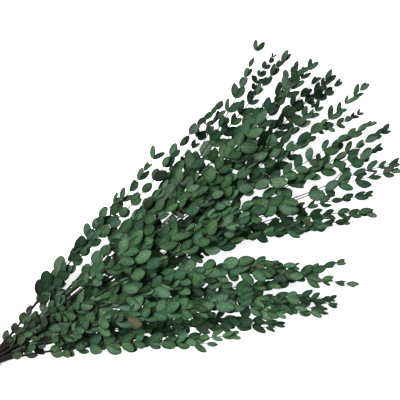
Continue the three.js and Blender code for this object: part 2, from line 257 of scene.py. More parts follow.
# %% Points along a branch
def point_on(branch, distance, swing_deg=0.0, lift=0.0):
    """The point of a branch at a distance from the tie. A side twig swings out from it and lifts."""
    slot_y, slot_z = branch.slot
    slot_height = TIE_OUTER_RADIUS + slot_z
    if distance <= STRAIGHT_PAST_TIE:
        return np.array([distance, slot_y, slot_height])
    free = distance - STRAIGHT_PAST_TIE
    share = distance / branch.reach
    splay = 1 - math.exp(-free / SPLAY_LENGTH)
    angle = math.radians(lerp(branch.start_deg, branch.tip_deg, share**2) * splay + swing_deg)
    sunk = 1 - DROOP * (distance / LONGEST_REACH) ** 2
    height = lerp(slot_height, LAYER_HEIGHT[branch.layer] * sunk, smoothstep(free, 0, RISE_LENGTH))
    y = distance * math.sin(angle) + slot_y * (1 - share)
    return np.array([distance * math.cos(angle), y, height + lift])


def place_on(route, length):
    """The point of a route at a length along it, with the way it runs and where it is on the route."""
    left = length
    for i in range(1, len(route)):
        piece = route[i] - route[i - 1]
        size = np.linalg.norm(piece)
        if left <= size or i == len(route) - 1:
            t = min(1, max(0, left / size))
            return SimpleNamespace(point=route[i - 1] + t * piece, forward=piece / size, step=i - 1 + t)
        left -= size


def length_of(route):
    return sum(np.linalg.norm(b - a) for a, b in zip(route, route[1:]))


print("heights of the tips:", [round(point_on(branch, branch.reach)[2]) for branch in branches], "mm")

# %% [markdown]
# A bunch pulled apart on a table has gaps, and a few of them go all the way down: a long notch between
# the lower group of stems and the rest, and slits beside the outermost strands. No layer has a leaf in
# these clearings, apart from the twigs that are laid beside them one by one further down.

# %% Clearings
CLEARINGS = [  # from one point to another, and half the width
    ((150, 34), (240, 19), 5), ((192, 45), (248, 57), 3), ((149, 42), (246, 75), 4),
    ((318, 65), (372, 50), 5), ((306, 27), (342, 4), 5), ((330, -12), (470, -54), 4),
]
CLEARED_SHARE = 0.15  # a leaf keeps this share of its length from a clearing


def off_line(point, start, end):
    """How far a point is from a straight line between two others, seen from above."""
    along, from_start = np.subtract(end, start), np.subtract(point[:2], start)
    share = min(1, max(0, from_start.dot(along) / along.dot(along)))
    return np.linalg.norm(from_start - share * along)


def in_clearing(point, leaf):
    """Whether a leaf of this length, with its middle at this point, would cover one of the clearings."""
    return any(off_line(point, start, end) < half + CLEARED_SHARE * leaf
               for start, end, half in CLEARINGS)


print("clearings:", len(CLEARINGS))

# %% [markdown]
# A main stem follows its branch, with a small wander at each point. A side twig forks off it, bends
# out into its lane and comes to lie along it, because the bunch was packed flat.

# %% Stems and side twigs
LEAF_LENGTH = 28  # the largest, halfway up a stem
BARE_BASE = 30  # no leaves nearer to the tie
TWIG_BARE = 12  # nor this near to the root of a side twig


def leafy(route, kind, leafy_from, leaf_length, in_gap=False, closing=0):
    """A stem, twig or sprig. Its leaves may be folded forwards, and may cover a clearing if in_gap."""
    return SimpleNamespace(route=route, kind=kind, leafy_from=leafy_from, leaf_length=leaf_length,
                           in_gap=in_gap, closing=closing)


def main_stem(branch, draw):
    steps = int(branch.reach / STEM_STEP + 0.5)
    route = [point_on(branch, -STEM_BEHIND_TIE), point_on(branch, STRAIGHT_PAST_TIE)]
    for i in range(1, steps + 1):
        point = point_on(branch, lerp(STRAIGHT_PAST_TIE, branch.reach, i / steps))
        wander = lerp(*WANDER, i / steps)
        point[1] += up_to(draw, wander)
        point[2] += up_to(draw, wander if branch.layer > 0 else 0)
        route.append(point)
    return leafy(route, "stem", STEM_BEHIND_TIE + BARE_BASE, LEAF_LENGTH)


def side_twig(branch, main, index, count, fork_shares, draw):
    left = index % 2 == branch.layer % 2
    rank = index / (count - 1) if count > 1 else 0
    fork = lerp(*fork_shares, rank) + up_to(draw, TWIG_FORK_SPREAD)
    end = min(fork + between(draw, TWIG_LENGTH_SHARE), TWIG_END_SHARE)
    lane = branch.lane_left if left else -branch.lane_right
    swing_deg = lane * between(draw, LANE_USED)
    rise = up_to(draw, TWIG_RISE if branch.layer > 0 else 0)
    steps = max(2, int((end - fork) * branch.reach / TWIG_STEP + 0.5))
    route = [place_on(main.route, STEM_BEHIND_TIE + fork * branch.reach).point]
    for i in range(1, steps + 1):
        eased = 1 - (1 - i / steps) ** 2
        distance = branch.reach * lerp(fork, end, i / steps)
        point = point_on(branch, distance, swing_deg * eased, rise * eased)
        point[1] += up_to(draw, lerp(*WANDER, distance / branch.reach))
        route.append(point)
    return leafy(route, "twig", TWIG_BARE, LEAF_LENGTH)


for i, branch in enumerate(branches):
    draw = random_from(SEED + i)
    branch.stems = [main_stem(branch, draw)]
    for twig in range(branch.twigs):
        forks = (branch, branch.stems[0], twig, branch.twigs, TWIG_FORK_SHARES)
        branch.stems.append(side_twig(*forks, draw))
    for number, stem in enumerate(branch.stems):
        stem.seed = SEED + SEEDS_PER_BRANCH * i + SEEDS_PER_STEM * number
print("stems and twigs of the solids:", sum(len(branch.stems) for branch in branches))

# %% [markdown]
# ## More twigs than the solids have
#
# The real bunch is fuller than its solids, most of all in the lower group. Six branches, five of them
# in that group, get one more side twig, by the rule of the others, so it stays inside their outline.

# %% Filling twigs
FILLED_BRANCHES = (3, 4, 7, 12, 16, 19)
FILL_FORK_SHARES = (0.12, 0.48)
FILL_SEED = 7000

for number in FILLED_BRANCHES:
    branch = branches[number - 1]
    draw = random_from(FILL_SEED + number)
    branch.stems.append(side_twig(branch, branch.stems[0], 1, 2, FILL_FORK_SHARES, draw))
    branch.stems[-1].seed = FILL_SEED + SEEDS_PER_BRANCH * number
print("with the filling twigs:", sum(len(branch.stems) for branch in branches))

# %% [markdown]
# Some twigs stand out of the mass, and the eye finds them at once: the strand inside the upper edge,
# with a slit on each side of it, and the ends that close the outline where a rule leaves it ragged. A
# florist lays these by hand, and this script lays them one by one, with a few points on the way of each.

# %% Twigs laid one by one
LAID_TWIGS = [  # branch, where the twig forks off, and its way: distance from the tie, angle and height
    (9, 132, [(166, 13, 44), (192, 14, 52), (219, 15, 58), (245, 15.4, 62), (272, 15.8, 60),
              (302, 16.4, 58), (330, 17, 56)]),
    (8, 108, [(150, 20, 34), (190, 20.5, 43), (230, 20.4, 50), (270, 20, 53), (320, 19.5, 55),
              (370, 19.7, 55), (420, 20.3, 53), (470, 20.4, 50), (510, 20, 46)]),
    (8, 215, [(245, 23.2, 52), (275, 23.8, 54), (305, 23.6, 52)]),
    (7, 330, [(375, -12.4, 40), (420, -12.8, 42), (465, -12.6, 40), (510, -12.2, 36), (545, -12.4, 32)]),
    (17, 440, [(480, 13.6, 76), (520, 14.4, 70), (560, 14.8, 62)]),
]
LAID_LEAF = 25
LAID_BARE = 22  # no leaves nearer to the fork
LAID_CLOSING = 0.6  # how far its leaves are folded forwards, so that it makes a slim strand
LAID_SEED = 5200

for i, (number, fork, way) in enumerate(LAID_TWIGS):
    branch = branches[number - 1]
    route = [place_on(branch.stems[0].route, STEM_BEHIND_TIE + fork).point]
    for distance, degrees, height in way:
        angle = math.radians(degrees)
        route.append(np.array([distance * math.cos(angle), distance * math.sin(angle), height]))
    branch.stems.append(leafy(route, "twig", LAID_BARE, LAID_LEAF, in_gap=True, closing=LAID_CLOSING))
    branch.stems[-1].seed = LAID_SEED + SEEDS_PER_BRANCH * i
print("with the twigs laid by hand:", sum(len(branch.stems) for branch in branches))

# %% [markdown]
# Towards its tip a stem bears sprigs, short shoots with small leaves. They are what makes the outline
# of a real bunch so uneven. Each bends back along its stem, because the bunch was packed flat.

# %% Sprigs
SPRIG_SHARES = (0.55, 0.96)  # of the reach, where sprigs sit on a main stem
SPRIG_STEP = (100, 220)  # from one to the next
SPRIG_LENGTH = (38, 95)
SPRIG_PAST_TIP = 20  # the most that it reaches past the tip of its stem
SPRIG_SPREAD_DEG = (10, 26)
SPRIG_BEND = 0.45  # how far a sprig bends back along its stem
SPRIG_RISE = 10
SPRIG_LOWEST = 2  # above the table
SPRIG_LEAF = (14, 22)
SPRIG_BARE = 9
SPRIG_SEED = 9000
SPRIG_LEAST_TWIGS = 2  # a stem with fewer twigs is a thin one and has no sprigs
SPRIG_POINTS = 4


def sprig(main, at, side, draw):
    """A short side shoot in the outer part of a stem."""
    root = place_on(main.route, at)
    aside = side * np.cross((0, 0, 1), root.forward)
    aside /= np.linalg.norm(aside)
    room = length_of(main.route) - at
    length = min(between(draw, SPRIG_LENGTH), room + SPRIG_PAST_TIP)
    spread = math.radians(between(draw, SPRIG_SPREAD_DEG))
    rise = up_to(draw, SPRIG_RISE)
    route = []
    for k in range(SPRIG_POINTS):
        t = k / (SPRIG_POINTS - 1)
        out = math.sin(spread) * (t - SPRIG_BEND * t * t)
        point = root.point + length * (root.forward * math.cos(spread) * t + aside * out)
        point[2] = max(point[2] + rise * t, SPRIG_LOWEST)
        route.append(point)
    return leafy(route, "sprig", SPRIG_BARE, between(draw, SPRIG_LEAF))


for i, branch in enumerate(branches):
    if branch.twigs < SPRIG_LEAST_TWIGS:
        continue
    draw = random_from(SPRIG_SEED + i)
    main = branch.stems[0]
    total = length_of(main.route)
    at, last = (STEM_BEHIND_TIE + (total - STEM_BEHIND_TIE) * share for share in SPRIG_SHARES)
    count = 0
    while at < last:
        grown = sprig(main, at, 1 if count % 2 else -1, draw)
        grown.seed = SPRIG_SEED + SEEDS_PER_BRANCH * i + SEEDS_PER_SPRIG * (count + 1)
        if not in_clearing(grown.route[-1], grown.leaf_length):
            branch.stems.append(grown)
        at += between(draw, SPRIG_STEP)
        count += 1
print("with the sprigs:", sum(len(branch.stems) for branch in branches))

# %% [markdown]
# ## Where the leaves sit
#
# Eucalyptus of this kind bears its leaves in opposite pairs, each turned a quarter round from the
# last. Under their own weight the blades of a lying bunch turn their faces up. Leaves are largest
# halfway up a stem, and narrower and more closed at its tip. Near the tie many have been stripped off.
#
# The solids hold some of these pairs, each leaf in the first of eight poses that was clear of its
# neighbours. To keep those leaves where they are, the script works out all eight poses and looks for
# the one whose tip is a corner of the solid. A k-d tree finds the nearest corner quickly. All other
# leaves take the first pose that doesn't stand out above the solids. In two places, where several
# stems cross, some of the other pairs are left out, so that the table shows through between them.

# %% Driving dimensions of the leaves
BASE_LEAF_SHARE, TIP_LEAF_SHARE = 0.75, 0.72
LARGEST_FROM, TIP_TAPER_FROM = 0.4, 0.65  # shares of the leafy length
LAST_PAIR_BEFORE_TIP = 1.5
LAST_PITCH_LEAST = 7  # no other pair is nearer to the last one
PAIR_MIDDLE_SHARE = 0.4  # the middle of a pair of leaves lies this share of their length past its root
LEAF_VARIATION = (0.72, 1.12)
LEAF_WIDTH_SHARE = (0.56, 0.7)
TIP_FROM = 0.5  # from this share of the leafy length on,
TIP_NARROWING, TIP_CLOSING = 0.32, 0.38  # leaves get narrower and point more forwards, by up to this
LEAF_ARCH = (-0.02, 0.09)  # rise of the middle over the length
LEAF_FOLD = (0.02, 0.16)  # rise of each edge over the half width
LEAF_SPREAD_DEG = (16, 52)
LEAF_TILT = (0.6, 1)  # how far the blades turn out of the level, at the base and at the tip
LEAF_SEAT = 0.2  # the leaves of a pair start this share of the stem's radius off its axis
PAIR_ROLL_DEG = 38  # the most that a pair is off its quarter turn
PITCH_SHARE = (0.7, 1)  # from one pair to the next, in lengths of its leaves
THIN_FOLIAGE = 135  # along the bunch, up to where pairs have been stripped off
BASE_PAIRS_LEFT = 0.4  # the share that is left of them at the tie
THINNED = [  # where pairs are left out: two points, half the width, and the share that stays
    ((468, -4), (570, -8), 15, 0.4), ((380, 120), (425, 134), 11, 0.3),
]
LEAF_TRIES = 8
STEM_RADII = (2.3, 0.9)  # of the solids, where a leaf's seat is measured from
TWIG_RADII = (1.35, 0.9)
UP = np.array([0.0, 0.0, 1.0])
print("widths of the largest leaves:", [round(LEAF_LENGTH * share, 1) for share in LEAF_WIDTH_SHARE], "mm")

# %% Leaf pairs
def unit(vector):
    return vector / np.linalg.norm(vector)


def leaf_size(stem, share):
    """Leaf size against its place on the stem, from 0 at the first leaf to 1 at the tip."""
    swell = smoothstep(share, 0, LARGEST_FROM)
    taper = lerp(1, TIP_LEAF_SHARE, smoothstep(share, TIP_TAPER_FROM, 1))
    return stem.leaf_length * lerp(BASE_LEAF_SHARE, 1, swell) * taper


def solid_radius(stem, step):
    """Radius of the stem's solid at a step of its route."""
    last = len(stem.route) - 1
    if stem.kind == "stem":
        return lerp(*STEM_RADII, max(0, step - 1) / (last - 1))
    return lerp(*TWIG_RADII, step / last)


def leaf_pairs(stem):
    draw = random_from(stem.seed)
    total = length_of(stem.route)
    pairs = []
    at, turn = stem.leafy_from, 0
    while at <= total:
        share = (at - stem.leafy_from) / (total - stem.leafy_from)
        size = leaf_size(stem, share)
        root = place_on(stem.route, at)
        aside = unit(np.cross(UP, root.forward))
        above = np.cross(root.forward, aside)
        roll = math.radians(90 * (turn % 2) - 45 + up_to(draw, PAIR_ROLL_DEG))
        outward = aside * math.cos(roll) + above * math.sin(roll)
        leafiness = lerp(BASE_PAIRS_LEFT, 1, smoothstep(root.point[0], BARE_BASE, THIN_FOLIAGE))
        middle = root.point + root.forward * size * PAIR_MIDDLE_SHARE
        if draw() < leafiness and (stem.in_gap or not in_clearing(middle, size)):
            seed = stem.seed + SEEDS_PER_PAIR * (turn + 1)
            seat = solid_radius(stem, root.step) * LEAF_SEAT
            pairs.append(SimpleNamespace(size=size, root=root, outward=outward, seed=seed, seat=seat,
                                         share=share, closing=stem.closing))
        onward = size * between(draw, PITCH_SHARE)
        near_tip = at < total - LAST_PAIR_BEFORE_TIP < at + onward + LAST_PITCH_LEAST
        at = total - LAST_PAIR_BEFORE_TIP if near_tip else at + onward
        turn += 1
    return pairs


sizes = [leaf_size(branches[0].stems[0], share) for share in (0, 0.5, 1)]
print("leaf lengths at the foot, the middle and the tip of a stem:", [round(size) for size in sizes], "mm")

# %% Leaf poses
def leaf_pose(pair, side, attempt):
    """Where a leaf starts, which way it points, which way its upper face looks, and its form."""
    draw = random_from(pair.seed + 2 * attempt + side)
    near_tip = smoothstep(pair.share, TIP_FROM, 1)
    closing = max(pair.closing, TIP_CLOSING * near_tip)
    spread = math.radians(between(draw, LEAF_SPREAD_DEG) * (1 - closing))
    away = pair.outward * (1 if side else -1)
    pointing = pair.root.forward * math.cos(spread) + away * math.sin(spread)
    tilt = lerp(*LEAF_TILT, near_tip)
    face = UP + np.array([up_to(draw, tilt), up_to(draw, tilt), 0])
    face = unit(face - pointing * face.dot(pointing))
    length = pair.size * between(draw, LEAF_VARIATION)
    width = length * between(draw, LEAF_WIDTH_SHARE) * (1 - TIP_NARROWING * near_tip)
    arch, fold = between(draw, LEAF_ARCH), between(draw, LEAF_FOLD)
    start = pair.root.point + away * pair.seat
    return SimpleNamespace(start=start, pointing=pointing, face=face, length=length, width=width,
                           arch=arch, fold=fold, seed=pair.seed + side, root=pair.root)


first = leaf_pose(leaf_pairs(branches[0].stems[0])[0], 0, 0)
print("the first leaf is", round(first.length, 1), "mm long and", round(first.width, 1), "mm wide")

# %% Leaves as in the solids
def corners_of(node):
    """A k-d tree of the corners of a solid."""
    vertices = frame["nodes"][node].data.vertices
    tree = kdtree.KDTree(len(vertices))
    for vertex in vertices:
        tree.insert(vertex.co, vertex.index)
    tree.balance()
    return tree


SAME_POINT = 0.02 * MM
SOLIDS_TOP = cad_box[1][2] / MM


def above_solids(pose):
    """How far the tip or a side of a leaf would stand above the top of the solids."""
    tip = pose.start + pose.pointing * pose.length
    side = abs(np.cross(pose.face, pose.pointing)[2]) * pose.width / 2
    return max(0, tip[2] - SOLIDS_TOP, (pose.start[2] + tip[2]) / 2 + side - SOLIDS_TOP)


def pose_as_built(pair, side, corners):
    """The pose that the leaf has in the solid, or the first that isn't too high if it isn't in there."""
    poses = [leaf_pose(pair, side, attempt) for attempt in range(LEAF_TRIES)]
    for pose in poses:
        tip = pose.start + pose.pointing * pose.length
        tip[2] = max(tip[2], 0)
        if corners.find(in_frame(tip))[2] < SAME_POINT:
            return pose, True
    return min(poses, key=above_solids), False


def thinned_out(pair):
    """Whether this pair is one of those left out."""
    draw = random_from(pair.seed + THINNING_SEED)
    return any(off_line(pair.root.point, start, end) < half and draw() > left
               for start, end, half, left in THINNED)


found = 0
for i, branch in enumerate(branches):
    branch.name = f"branch_{i + 1:02d}"
    corners = corners_of(branch.name)
    for stem in branch.stems:
        stem.pairs = leaf_pairs(stem)
        stem.leaves = []
        for pair in stem.pairs:
            poses = [pose_as_built(pair, side, corners) for side in (0, 1)]
            held = sum(in_solid for pose, in_solid in poses)
            if held or not thinned_out(pair):
                stem.leaves += [pose for pose, in_solid in poses]
                found += held
print("leaves:", sum(len(stem.leaves) for branch in branches for stem in branch.stems),
      "of which the solids hold", found)

# %% [markdown]
# ## Helpers for nodes and colours
#
# Materials and Geometry Nodes trees are both node trees. `add` puts in one node, with its settings and
# with a value or a link for each input. Colours are written as the hex values that a colour picker
# shows (sRGB), and a shader wants them linear, so `colour` turns them. All finishes are looked up in
# the piece's own coordinates, so they stay with it wherever it goes.

# %% Node and colour helpers
def add(tree, kind, inputs=None, **settings):
    """Adds a node. An input, named or numbered, gets a value, or a link if it is given an output."""
    node = tree.nodes.new(kind)
    for name, value in settings.items():
        setattr(node, name, value)
    for socket, value in (inputs or {}).items():
        if isinstance(value, bpy.types.NodeSocket):
            tree.links.new(value, node.inputs[socket])
        else:
            node.inputs[socket].default_value = value
    return node


def colour(hex_value):
    """An sRGB hex value as the linear colour that a shader socket takes."""
    channels = [int(hex_value[i : i + 2], 16) / 255 for i in (1, 3, 5)]
    linear = [c / 12.92 if c <= 0.04045 else ((c + 0.055) / 1.055) ** 2.4 for c in channels]
    return (*linear, 1)


def new_material(name, finish):
    """A Principled material, with its tree, its shader and the place on the piece as an output."""
    material = bpy.data.materials.new(name)
    material.use_nodes = True
    tree = material.node_tree
    shader = tree.nodes["Principled BSDF"]
    for socket, value in finish.items():  # what is the same all over the surface
        shader.inputs[socket].default_value = value
    return material, tree, shader, add(tree, "ShaderNodeTexCoord").outputs["Object"]


print("mid grey is", round(colour("#808080")[0], 3), "in linear light")

# %% [markdown]
# A few kinds of node come back in nearly every finish: a value that the mesh carries, a sum, a range,
# a noise, a mix of two colours and a fine relief. Each has its own short helper.

# %% Parts of a finish
FACTOR, FIRST, SECOND, MIXED = 0, 6, 7, 2  # the sockets of a Mix node that mixes colours


def carried(tree, name):
    return add(tree, "ShaderNodeAttribute", attribute_name=name).outputs["Fac"]


def calculate(tree, operation, *values, **settings):
    return add(tree, "ShaderNodeMath", dict(enumerate(values)), operation=operation, **settings).outputs[0]


def ramp(tree, value, start, end, low, high):
    """Goes from low to high while the value goes from start to end, and stays level beyond them."""
    return add(tree, "ShaderNodeMapRange", {0: value, 1: start, 2: end, 3: low, 4: high}).outputs[0]


def noise(tree, place, size_mm, detail, **settings):
    """A noise with patches of about this size."""
    inputs = {"Vector": place, "Scale": 1 / (size_mm * MM), "Detail": detail}
    return add(tree, "ShaderNodeTexNoise", inputs, **settings).outputs[0]


def mix(tree, factor, first, second):
    inputs = {FACTOR: factor, FIRST: first, SECOND: second}
    return add(tree, "ShaderNodeMix", inputs, data_type="RGBA").outputs[MIXED]


def roughen(tree, shader, height, strength, depth_mm):
    """Fine relief, too small to be modelled."""
    inputs = {"Height": height, "Strength": strength, "Distance": depth_mm * MM}
    tree.links.new(add(tree, "ShaderNodeBump", inputs).outputs[0], shader.inputs["Normal"])


print("helpers:", [helper.__name__ for helper in (carried, calculate, ramp, noise, mix, roughen)])

# %% [markdown]
# ## The leaf material
#
# Preserved eucalyptus is dull and leathery. It was soaked in glycerine and dye, which leaves a grey
# green that leans to blue on some leaves and to yellow on others, and turns olive brown on the oldest
# ones near the foot of the stems. The waxy bloom on the skin hides most of the gloss. Dye and
# glycerine leave small dark flecks all over the skin. The rim is darker: partly the colour of the
# margin, partly painted shade of the dark edges where leaves overlap.
#
# Each leaf carries its own `tint`, `age` and `shade`. The shade is how dark the leaf is: a tone that
# differs at random, darker at the foot and at the tips, and painted light and shade, almost black on
# leaves in shadow or seen edge on, lighter in the lower group and darker at the upper edge. Each point
# of a blade knows its place `along` the leaf and `aside` from its midrib. So one material serves all
# leaves.

# %% Preserved eucalyptus leaf
BLUE_GREEN, YELLOW_GREEN, OLIVE = colour("#203b2a"), colour("#2a4327"), colour("#332e20")
MOTTLE_MM = 6  # size of the cloudy patches in the green
CLOUDINESS = 0.9  # how far a patch may lean from one green to the other

leaf_material, tree, shader, place = new_material(
    "preserved eucalyptus leaf", {"Roughness": 0.56, "IOR": 1.42, "Specular IOR Level": 0.16})
clouds = calculate(tree, "MULTIPLY_ADD", noise(tree, place, MOTTLE_MM, 3), CLOUDINESS, -CLOUDINESS / 2)
leaning = calculate(tree, "ADD", carried(tree, "tint"), clouds, use_clamp=True)
green = mix(tree, leaning, BLUE_GREEN, YELLOW_GREEN)
age = carried(tree, "age")
old = calculate(tree, "ADD", clouds, age, use_clamp=True)
aged = mix(tree, calculate(tree, "MULTIPLY", old, age), green, OLIVE)
print("greens of the leaf:", len(tree.nodes), "nodes")

# %% Veins, rim and painted edge shade of the leaf
MIDRIB, RIM_WITH_PAINTED_SHADE, PALE_UNDERSIDE = colour("#617c59"), colour("#132418"), colour("#46604a")
SIDE_VEINS = 9  # on each half of the blade
VEIN_SLANT = 0.35  # of the leaf's length, by which a side vein climbs on its way to the edge
VEIN_FROM = 0.8  # only the crests of a sine show, so that the veins are narrow
MIDRIB_SHARE, RIM_FROM = 0.09, 0.55  # of the half width: where the midrib ends and the rim begins
VEIN_STRENGTH, MIDRIB_STRENGTH = 0.12, 0.26  # how much of the new colour shows
RIM_STRENGTH, UNDERSIDE_STRENGTH = 0.95, 0.6

from_midrib = calculate(tree, "ABSOLUTE", carried(tree, "aside"))
slant = calculate(tree, "MULTIPLY_ADD", from_midrib, -VEIN_SLANT, carried(tree, "along"))
crests = calculate(tree, "SINE", calculate(tree, "MULTIPLY", slant, 2 * math.pi * SIDE_VEINS))
veins = ramp(tree, crests, VEIN_FROM, 1, 0, VEIN_STRENGTH)
midrib = ramp(tree, from_midrib, 0, MIDRIB_SHARE, MIDRIB_STRENGTH, 0)
ribs = calculate(tree, "MAXIMUM", veins, midrib)
ribbed = mix(tree, ribs, aged, MIDRIB)
# Darker rim: partly the margin's own colour, partly painted shade where leaves overlap.
rimmed = mix(tree, ramp(tree, from_midrib, RIM_FROM, 1, 0, RIM_STRENGTH), ribbed, RIM_WITH_PAINTED_SHADE)
below = calculate(tree, "MULTIPLY", carried(tree, "underside"), UNDERSIDE_STRENGTH)
leaf_colour = mix(tree, below, rimmed, PALE_UNDERSIDE)
print("with veins and rim:", len(tree.nodes), "nodes")

# %% Skin of the leaf
FLECK_MM = 2.4  # size of the darker and paler flecks of the dried skin
FLECK_LIMITS, FLECK_SHADES = (0.3, 0.7), (0.58, 1.4)  # of the noise, and how dark and how pale they are
GRAIN_MM = 0.6  # of the pores of the skin: finer ones wouldn't show
RIB_RELIEF = 0.6  # of the ribs, against that of the pores
SKIN_RELIEF, SKIN_RELIEF_MM = 0.35, 0.2

flecks = ramp(tree, noise(tree, place, FLECK_MM, 2), *FLECK_LIMITS, *FLECK_SHADES)
# The leaf's shade: random tone, darker foot and tips, and painted light and shade.
shaded = calculate(tree, "MULTIPLY", flecks, carried(tree, "shade"))
flecked_and_shaded = add(tree, "ShaderNodeVectorMath", {0: leaf_colour, "Scale": shaded}, operation="SCALE")
tree.links.new(flecked_and_shaded.outputs[0], shader.inputs["Base Color"])
skin = calculate(tree, "MULTIPLY_ADD", ribs, RIB_RELIEF, noise(tree, place, GRAIN_MM, 2))
roughen(tree, shader, skin, SKIN_RELIEF, SKIN_RELIEF_MM)
print("leaf material:", len(tree.nodes), "nodes")

# %% [markdown]
# ## Bark and cut wood
#
# The stems are thin and almost black where the bark has dried, with a red brown that shows where it is
# rubbed. The fibres run lengthwise, so the noise is stretched along X, the way that the stems run. The
# cut ends show pale wood with a dark ring of bark.

# %% Eucalyptus bark
BARK_DARK, BARK_RED = colour("#090706"), colour("#1c120d")
BARK_FIBRE_MM, BARK_FIBRE_STRETCH = 0.8, 0.08  # across the stem, and how much slower along it
RUBBED_LIMITS = (0.42, 0.72)  # of the noise, between which the red comes through
BARK_RELIEF, BARK_RELIEF_MM = 0.6, 0.2

bark_material, tree, shader, place = new_material(
    "eucalyptus bark", {"Roughness": 0.72, "Specular IOR Level": 0.15})
lengthwise = add(tree, "ShaderNodeMapping", {"Vector": place, "Scale": (BARK_FIBRE_STRETCH, 1, 1)})
fibres = noise(tree, lengthwise.outputs[0], BARK_FIBRE_MM, 4)
bark_colour = mix(tree, ramp(tree, fibres, *RUBBED_LIMITS, 0, 1), BARK_DARK, BARK_RED)
tree.links.new(bark_colour, shader.inputs["Base Color"])
roughen(tree, shader, fibres, BARK_RELIEF, BARK_RELIEF_MM)
print("bark material:", len(tree.nodes), "nodes")

# %% Cut wood
WOOD_PALE, WOOD_DARK = colour("#b79c6f"), colour("#7d6140")
PORE_MM = 0.35

wood_material, tree, shader, place = new_material("cut eucalyptus wood", {"Roughness": 0.85})
wood_colour = mix(tree, noise(tree, place, PORE_MM, 3), WOOD_PALE, WOOD_DARK)
tree.links.new(wood_colour, shader.inputs["Base Color"])
print("wood material:", len(tree.nodes), "nodes")

# %% [markdown]
# ## Trees that grow things
#
# Leaves repeat and stems follow routes, so Geometry Nodes make both. Three helpers serve every tree:
# one starts a tree with named inputs, one reads what the points of a mesh carry, and one runs the tree
# on a mesh and keeps the result as a plain mesh, with no modifier left.

# %% Geometry Nodes helpers
def new_tree(name, sockets):
    """A tree with one geometry in and out, and the named inputs, each given as its socket type."""
    tree = bpy.data.node_groups.new(name, "GeometryNodeTree")
    tree.interface.new_socket("Geometry", in_out="INPUT", socket_type="NodeSocketGeometry")
    for label, kind in sockets.items():
        tree.interface.new_socket(label, in_out="INPUT", socket_type=kind)
    tree.interface.new_socket("Geometry", in_out="OUTPUT", socket_type="NodeSocketGeometry")
    return tree, tree.nodes.new("NodeGroupInput").outputs


def on_points(tree, name, kind):
    """What each point carries under this name."""
    return add(tree, "GeometryNodeInputNamedAttribute", {"Name": name}, data_type=kind).outputs[0]


def grow(name, tree, start, values):
    """Runs a tree on a mesh, with a value for each named input, and returns a plain mesh object."""
    piece = bpy.data.objects.new(name, start)
    scene.collection.objects.link(piece)
    modifier = piece.modifiers.new("grow", "NODES")
    modifier.node_group = tree
    for item in tree.interface.items_tree:
        if item.in_out == "INPUT" and item.name in values:
            modifier[item.identifier] = values[item.name]
    depsgraph = bpy.context.evaluated_depsgraph_get()
    grown = bpy.data.meshes.new_from_object(piece.evaluated_get(depsgraph), depsgraph=depsgraph)
    piece.modifiers.remove(modifier)
    piece.data = grown
    grown.name = name
    bpy.data.meshes.remove(start)
    return piece


print("helpers:", [helper.__name__ for helper in (new_tree, on_points, grow)])

# %% [markdown]
# ## The blade of a leaf
#
# A leaf is a thin closed blade with a short stalk, rounded at both ends and widest in the middle.
# It arches along its midrib, and its halves rise like a half open book. Nine forms, three arches by
# three folds, are enough to look different when each leaf has its own size and turn. A form is one
# long and one wide, and has a few dozen faces, because there are thousands of leaves.

# %% Outline and height of a blade
STALK, STALK_WIDTH = 0.05, 0.07
FULLEST, ROUNDNESS = 0.97, 0.55  # 1 is fullest in the middle, and less than 1 is rounder than a sine
CROWN = 0.05  # how much each half swells between midrib and edge, of its width
TYPICAL_WIDTH_SHARE = 0.6  # a form is as wide as it is long, so its fold is worked out for this width
WAVE, HALF_WAVES = 0.012, 2.6  # of the edge of a dried leaf: height over length, and how many there are


def half_width(along):
    """Of a blade that is one wide: rounded at both ends, and widest near the middle."""
    if along <= STALK:
        return STALK_WIDTH / 2
    blade = (along - STALK) / (1 - STALK)
    return max(STALK_WIDTH * (1 - blade), math.sin(math.pi * blade**FULLEST) ** ROUNDNESS) / 2


def blade_height(along, across, arch, fold):
    """Height of the middle of the blade over the straight line from its foot to its tip."""
    half = half_width(along) * TYPICAL_WIDTH_SHARE
    lift = arch * math.sin(math.pi * along) + fold * half * abs(across)
    swell = CROWN * half * math.sin(math.pi * abs(across))
    return lift + swell + WAVE * across * math.sin(HALF_WAVES * math.pi * along)


print("a blade is", round(2 * half_width(0.5), 2), "wide in its middle and", STALK_WIDTH, "at its stalk")

# %% Leaf forms
ARCHES = (0.0, 0.04, 0.08)
FOLDS = (0.04, 0.09, 0.14)
STATIONS = (0, 0.05, 0.13, 0.3, 0.5, 0.7, 0.86, 0.955, 1)  # along the leaf
COLUMNS = (-1, -0.5, 0, 0.5, 1)  # across it
LEAF_THICKNESS = 0.02  # of the length, at the midrib


